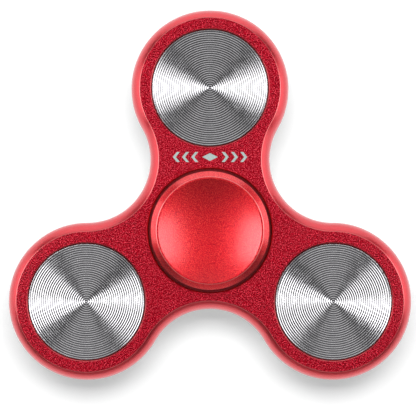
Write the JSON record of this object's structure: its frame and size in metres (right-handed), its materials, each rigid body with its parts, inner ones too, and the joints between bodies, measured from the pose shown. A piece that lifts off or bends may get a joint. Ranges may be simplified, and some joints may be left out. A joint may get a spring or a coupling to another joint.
{
  "type": "fidget spinner",
  "caption": "Lobed metal fidget spinner that turns on a ball bearing between two dished finger caps, with grooved steel weights in its lobes.",
  "frame": {"origin": "centre of the ball bearing: on the spin axis, midway between the front and rear faces", "axes": "+Z along the spin axis, out of the front cap; +Y from the hub to the first lobe; +X to the right seen from the front"},
  "size_m": [0.0768, 0.0705, 0.0124],
  "materials": {
    "anodised_body": "satin",
    "anodised_cap": "satin",
    "turned_steel": "satin",
    "bearing_steel": "polished",
    "ball_steel": "polished",
    "shield_steel": "satin",
    "spring_wire": "satin",
    "cage_nylon": "matte"
  },
  "bodies": {
    "hub": {"rear_cap": "anodised_cap", "bearing_inner_ring": "bearing_steel"},
    "spinner": {"spinner_body": "anodised_body", "front_weight_1": "turned_steel", "front_weight_2": "turned_steel", "front_weight_3": "turned_steel", "rear_weight_1": "turned_steel", "rear_weight_2": "turned_steel", "rear_weight_3": "turned_steel", "bearing_outer_ring": "bearing_steel", "front_shield": "shield_steel", "rear_shield": "shield_steel", "front_snap_ring": "spring_wire", "rear_snap_ring": "spring_wire"},
    "cage": {"ball_cage": "cage_nylon"},
    "front_cap": {"front_cap": "anodised_cap"},
    "ball_1": {"bearing_ball_1": "ball_steel"},
    "ball_2": {"bearing_ball_2": "ball_steel"},
    "ball_3": {"bearing_ball_3": "ball_steel"},
    "ball_4": {"bearing_ball_4": "ball_steel"},
    "ball_5": {"bearing_ball_5": "ball_steel"},
    "ball_6": {"bearing_ball_6": "ball_steel"},
    "ball_7": {"bearing_ball_7": "ball_steel"}
  },
  "joints": [
    {"name": "spin", "type": "hinge", "parent": "hub", "child": "spinner", "pos_m": [0, 0, 0], "axis": [0, 0, 1], "continuous": true},
    {"name": "cage_orbit", "type": "hinge", "parent": "hub", "child": "cage", "pos_m": [0, 0, 0], "axis": [0, 0, 1], "continuous": true},
    {"name": "front_cap_lift", "type": "slide", "parent": "hub", "child": "front_cap", "axis": [0, 0, 1], "range_m": [0, 0.012]},
    {"name": "ball_1_roll", "type": "hinge", "parent": "cage", "child": "ball_1", "pos_m": [0, 0.0075, 0], "axis": [0, 0, 1], "continuous": true},
    {"name": "ball_2_roll", "type": "hinge", "parent": "cage", "child": "ball_2", "pos_m": [-0.00586, 0.00468, 0], "axis": [0, 0, 1], "continuous": true},
    {"name": "ball_3_roll", "type": "hinge", "parent": "cage", "child": "ball_3", "pos_m": [-0.00731, -0.00167, 0], "axis": [0, 0, 1], "continuous": true},
    {"name": "ball_4_roll", "type": "hinge", "parent": "cage", "child": "ball_4", "pos_m": [-0.00325, -0.00676, 0], "axis": [0, 0, 1], "continuous": true},
    {"name": "ball_5_roll", "type": "hinge", "parent": "cage", "child": "ball_5", "pos_m": [0.00325, -0.00676, 0], "axis": [0, 0, 1], "continuous": true},
    {"name": "ball_6_roll", "type": "hinge", "parent": "cage", "child": "ball_6", "pos_m": [0.00731, -0.00167, 0], "axis": [0, 0, 1], "continuous": true},
    {"name": "ball_7_roll", "type": "hinge", "parent": "cage", "child": "ball_7", "pos_m": [0.00586, 0.00468, 0], "axis": [0, 0, 1], "continuous": true}
  ],
  "couplings": [
    {"joint": "cage_orbit", "follows": "spin", "ratio": 0.6323},
    {"joint": "ball_1_roll", "follows": "spin", "ratio": 1.7573},
    {"joint": "ball_2_roll", "follows": "spin", "ratio": 1.7573},
    {"joint": "ball_3_roll", "follows": "spin", "ratio": 1.7573},
    {"joint": "ball_4_roll", "follows": "spin", "ratio": 1.7573},
    {"joint": "ball_5_roll", "follows": "spin", "ratio": 1.7573},
    {"joint": "ball_6_roll", "follows": "spin", "ratio": 1.7573},
    {"joint": "ball_7_roll", "follows": "spin", "ratio": 1.7573}
  ]
}
